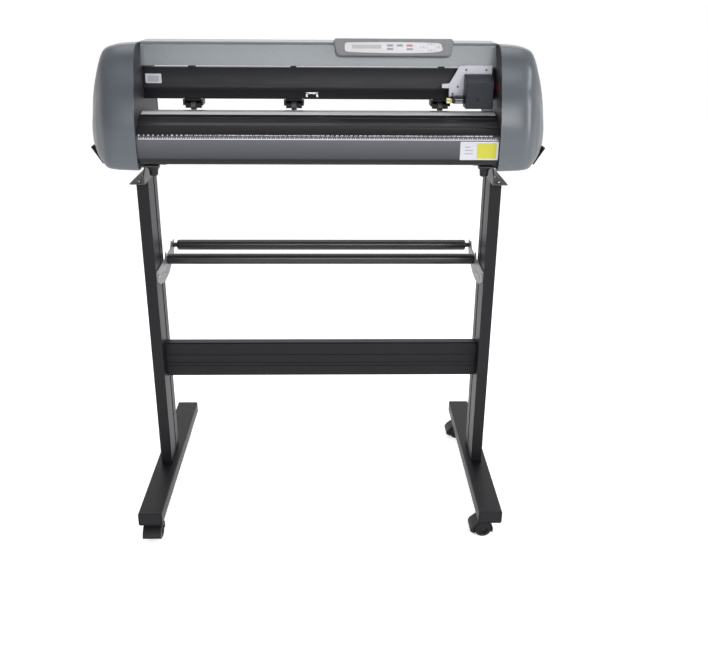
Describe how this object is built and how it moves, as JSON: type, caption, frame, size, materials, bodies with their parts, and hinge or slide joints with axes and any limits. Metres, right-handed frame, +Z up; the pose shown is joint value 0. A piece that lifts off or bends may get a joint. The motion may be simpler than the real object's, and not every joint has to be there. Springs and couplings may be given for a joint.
{
  "type": "vinyl cutter",
  "caption": "Floor-standing vinyl cutter: rounded end covers, beam with sliding knife carriage, pinch rollers over a curved table, wheeled stand with a media roll cradle.",
  "frame": {"origin": "on the floor, midway between the two feet and midway between their front and back ends", "axes": "+X to the operator's right along the beam, +Y away from the operator, +Z up"},
  "size_m": [1.0062, 0.571, 1.1272],
  "materials": {
    "cover_plastic": "satin moulded plastic, fine grain",
    "console_plastic": "satin moulded plastic",
    "top_cover_paint": "satin blue-grey paint on sheet",
    "apron_paint": "satin grey paint on sheet",
    "dark_sheet": "matt dark grey paint",
    "black_anodised": "black anodised extrusion",
    "platen_anodised": "dark anodised ribbed extrusion",
    "stand_powder_coat": "fine textured powder coat",
    "zinc_plate": "satin zinc grey",
    "rod_black": "satin black tube",
    "silver_plate": "bright plated sheet",
    "carriage_plastic": "satin navy-grey moulding",
    "black_plastic": "black moulding",
    "wheel_nylon": "black nylon wheel",
    "roller_rubber": "grey rubber roller",
    "ground_steel": "ground steel with knurled bands",
    "strip_plastic": "white strip",
    "overlay_film": "pale membrane film",
    "key_plastic": "pale grey keys",
    "knob_brass": "pale knurled knob"
  },
  "bodies": {
    "frame": {"left_foot": "stand_powder_coat", "right_foot": "stand_powder_coat", "left_post": "stand_powder_coat", "right_post": "stand_powder_coat", "crossbar": "stand_powder_coat", "left_top_bracket": "stand_powder_coat", "right_top_bracket": "stand_powder_coat", "left_roll_bracket": "zinc_plate", "right_roll_bracket": "zinc_plate", "left_cover": "cover_plastic", "right_cover": "cover_plastic", "left_side_plate": "dark_sheet", "right_side_plate": "dark_sheet", "left_handle": "black_plastic", "right_handle": "black_plastic", "top_cover": "top_cover_paint", "guide_beam": "black_anodised", "platen": "platen_anodised", "cutting_strip": "strip_plastic", "front_apron": "apron_paint", "base_pan": "dark_sheet", "console_housing": "console_plastic", "console_overlay": "overlay_film", "feed_motor": "black_plastic", "carriage_motor": "black_plastic", "mains_inlet": "black_plastic"},
    "front_rod": {"front_roll_rod": "rod_black"},
    "rear_rod": {"rear_roll_rod": "rod_black"},
    "feed_shaft": {"drive_shaft": "ground_steel"},
    "carriage": {"carriage_plate": "silver_plate", "carriage_cover": "carriage_plastic"},
    "tool": {"tool_holder": "black_plastic"},
    "clamp_knob": {"blade_clamp_knob": "knob_brass"},
    "rocker": {"power_switch": "black_plastic"},
    "key_a": {"key_a": "key_plastic"},
    "key_b": {"key_b": "key_plastic"},
    "key_c": {"key_c": "key_plastic"},
    "key_d": {"key_d": "key_plastic"},
    "key_e": {"key_e": "key_plastic"},
    "jog_left": {"jog_left": "key_plastic"},
    "jog_right": {"jog_right": "key_plastic"},
    "jog_up": {"jog_up": "key_plastic"},
    "jog_down": {"jog_down": "key_plastic"},
    "pinch_slider_left": {"pinch_bracket_left": "black_plastic"},
    "pinch_arm_left": {"pinch_arm_left": "black_plastic"},
    "pinch_roller_left": {"pinch_roller_left": "roller_rubber"},
    "pinch_slider_middle": {"pinch_bracket_middle": "black_plastic"},
    "pinch_arm_middle": {"pinch_arm_middle": "black_plastic"},
    "pinch_roller_middle": {"pinch_roller_middle": "roller_rubber"},
    "pinch_slider_right": {"pinch_bracket_right": "black_plastic"},
    "pinch_arm_right": {"pinch_arm_right": "black_plastic"},
    "pinch_roller_right": {"pinch_roller_right": "roller_rubber"},
    "caster_fork_front_left": {"caster_hood_front_left": "black_plastic"},
    "caster_wheel_front_left": {"caster_wheels_front_left": "wheel_nylon"},
    "caster_fork_back_left": {"caster_hood_back_left": "black_plastic"},
    "caster_wheel_back_left": {"caster_wheels_back_left": "wheel_nylon"},
    "caster_fork_front_right": {"caster_hood_front_right": "black_plastic"},
    "caster_wheel_front_right": {"caster_wheels_front_right": "wheel_nylon"},
    "caster_fork_back_right": {"caster_hood_back_right": "black_plastic"},
    "caster_wheel_back_right": {"caster_wheels_back_right": "wheel_nylon"}
  },
  "joints": [
    {"name": "front_rod_spin", "type": "hinge", "parent": "frame", "child": "front_rod", "pos_m": [0, 0.078, 0.595], "axis": [1, 0, 0], "continuous": true},
    {"name": "rear_rod_spin", "type": "hinge", "parent": "frame", "child": "rear_rod", "pos_m": [0, 0.16, 0.607], "axis": [1, 0, 0], "continuous": true},
    {"name": "feed_shaft_spin", "type": "hinge", "parent": "frame", "child": "feed_shaft", "pos_m": [0, -0.015, 0.9652], "axis": [1, 0, 0], "continuous": true},
    {"name": "carriage_travel", "type": "slide", "parent": "frame", "child": "carriage", "axis": [1, 0, 0], "range_m": [-0.64, 0.004]},
    {"name": "tool_lift", "type": "slide", "parent": "carriage", "child": "tool", "axis": [0, 0, 1], "range_m": [-0.006, 0], "stiffness_N_per_m": 150, "springref_m": 0.006},
    {"name": "clamp_knob_turn", "type": "hinge", "parent": "tool", "child": "clamp_knob", "pos_m": [0.285, -0.051, 1], "axis": [1, 0, 0], "range_deg": [-360, 0]},
    {"name": "power_rocker", "type": "hinge", "parent": "frame", "child": "rocker", "pos_m": [0.3435, 0.112, 0.899], "axis": [1, 0, 0], "range_deg": [0, 14]},
    {"name": "key_a_press", "type": "slide", "parent": "frame", "child": "key_a", "axis": [0, 0.7431, -0.6691], "range_m": [0, 0.0006], "stiffness_N_per_m": 2000, "springref_m": -0.0001},
    {"name": "key_b_press", "type": "slide", "parent": "frame", "child": "key_b", "axis": [0, 0.7431, -0.6691], "range_m": [0, 0.0006], "stiffness_N_per_m": 2000, "springref_m": -0.0001},
    {"name": "key_c_press", "type": "slide", "parent": "frame", "child": "key_c", "axis": [0, 0.7431, -0.6691], "range_m": [0, 0.0006], "stiffness_N_per_m": 2000, "springref_m": -0.0001},
    {"name": "key_d_press", "type": "slide", "parent": "frame", "child": "key_d", "axis": [0, 0.7431, -0.6691], "range_m": [0, 0.0006], "stiffness_N_per_m": 2000, "springref_m": -0.0001},
    {"name": "key_e_press", "type": "slide", "parent": "frame", "child": "key_e", "axis": [0, 0.7431, -0.6691], "range_m": [0, 0.0006], "stiffness_N_per_m": 2000, "springref_m": -0.0001},
    {"name": "jog_left_press", "type": "slide", "parent": "frame", "child": "jog_left", "axis": [0, 0.7431, -0.6691], "range_m": [0, 0.0006], "stiffness_N_per_m": 2000, "springref_m": -0.0001},
    {"name": "jog_right_press", "type": "slide", "parent": "frame", "child": "jog_right", "axis": [0, 0.7431, -0.6691], "range_m": [0, 0.0006], "stiffness_N_per_m": 2000, "springref_m": -0.0001},
    {"name": "jog_up_press", "type": "slide", "parent": "frame", "child": "jog_up", "axis": [0, 0.7431, -0.6691], "range_m": [0, 0.0006], "stiffness_N_per_m": 2000, "springref_m": -0.0001},
    {"name": "jog_down_press", "type": "slide", "parent": "frame", "child": "jog_down", "axis": [0, 0.7431, -0.6691], "range_m": [0, 0.0006], "stiffness_N_per_m": 2000, "springref_m": -0.0001},
    {"name": "pinch_place_left", "type": "slide", "parent": "frame", "child": "pinch_slider_left", "axis": [1, 0, 0], "range_m": [-0.07, 0.1]},
    {"name": "pinch_lift_left", "type": "hinge", "parent": "pinch_slider_left", "child": "pinch_arm_left", "pos_m": [-0.2805, 0.003, 0.9895], "axis": [-1, 0, 0], "range_deg": [0, 12], "stiffness_Nm_per_rad": 0.5, "springref_deg": -17.19},
    {"name": "pinch_spin_left", "type": "hinge", "parent": "pinch_arm_left", "child": "pinch_roller_left", "pos_m": [-0.2805, -0.015, 0.982], "axis": [1, 0, 0], "continuous": true},
    {"name": "pinch_place_middle", "type": "slide", "parent": "frame", "child": "pinch_slider_middle", "axis": [1, 0, 0], "range_m": [-0.1, 0.15]},
    {"name": "pinch_lift_middle", "type": "hinge", "parent": "pinch_slider_middle", "child": "pinch_arm_middle", "pos_m": [-0.057, 0.003, 0.9895], "axis": [-1, 0, 0], "range_deg": [0, 12], "stiffness_Nm_per_rad": 0.5, "springref_deg": -17.19},
    {"name": "pinch_spin_middle", "type": "hinge", "parent": "pinch_arm_middle", "child": "pinch_roller_middle", "pos_m": [-0.057, -0.015, 0.982], "axis": [1, 0, 0], "continuous": true},
    {"name": "pinch_place_right", "type": "slide", "parent": "frame", "child": "pinch_slider_right", "axis": [1, 0, 0], "range_m": [-0.15, 0.085]},
    {"name": "pinch_lift_right", "type": "hinge", "parent": "pinch_slider_right", "child": "pinch_arm_right", "pos_m": [0.27, 0.003, 0.9895], "axis": [-1, 0, 0], "range_deg": [0, 12], "stiffness_Nm_per_rad": 0.5, "springref_deg": -17.19},
    {"name": "pinch_spin_right", "type": "hinge", "parent": "pinch_arm_right", "child": "pinch_roller_right", "pos_m": [0.27, -0.015, 0.982], "axis": [1, 0, 0], "continuous": true},
    {"name": "swivel_front_left", "type": "hinge", "parent": "frame", "child": "caster_fork_front_left", "pos_m": [-0.401, -0.245, 0.0527], "axis": [0, 0, 1], "continuous": true},
    {"name": "wheel_front_left", "type": "hinge", "parent": "caster_fork_front_left", "child": "caster_wheel_front_left", "pos_m": [-0.401, -0.256, 0.022], "axis": [-1, 0, 0], "continuous": true},
    {"name": "swivel_back_left", "type": "hinge", "parent": "frame", "child": "caster_fork_back_left", "pos_m": [-0.401, 0.23, 0.0527], "axis": [0, 0, 1], "continuous": true},
    {"name": "wheel_back_left", "type": "hinge", "parent": "caster_fork_back_left", "child": "caster_wheel_back_left", "pos_m": [-0.412, 0.23, 0.022], "axis": [0, 1, 0], "continuous": true},
    {"name": "swivel_front_right", "type": "hinge", "parent": "frame", "child": "caster_fork_front_right", "pos_m": [0.401, -0.245, 0.0527], "axis": [0, 0, 1], "continuous": true},
    {"name": "wheel_front_right", "type": "hinge", "parent": "caster_fork_front_right", "child": "caster_wheel_front_right", "pos_m": [0.39, -0.245, 0.022], "axis": [0, 1, 0], "continuous": true},
    {"name": "swivel_back_right", "type": "hinge", "parent": "frame", "child": "caster_fork_back_right", "pos_m": [0.401, 0.23, 0.0527], "axis": [0, 0, 1], "continuous": true},
    {"name": "wheel_back_right", "type": "hinge", "parent": "caster_fork_back_right", "child": "caster_wheel_back_right", "pos_m": [0.39, 0.23, 0.022], "axis": [0, 1, 0], "continuous": true}
  ],
  "couplings": [
    {"joint": "pinch_lift_middle", "follows": "pinch_lift_left", "ratio": 1},
    {"joint": "pinch_lift_right", "follows": "pinch_lift_left", "ratio": 1}
  ]
}
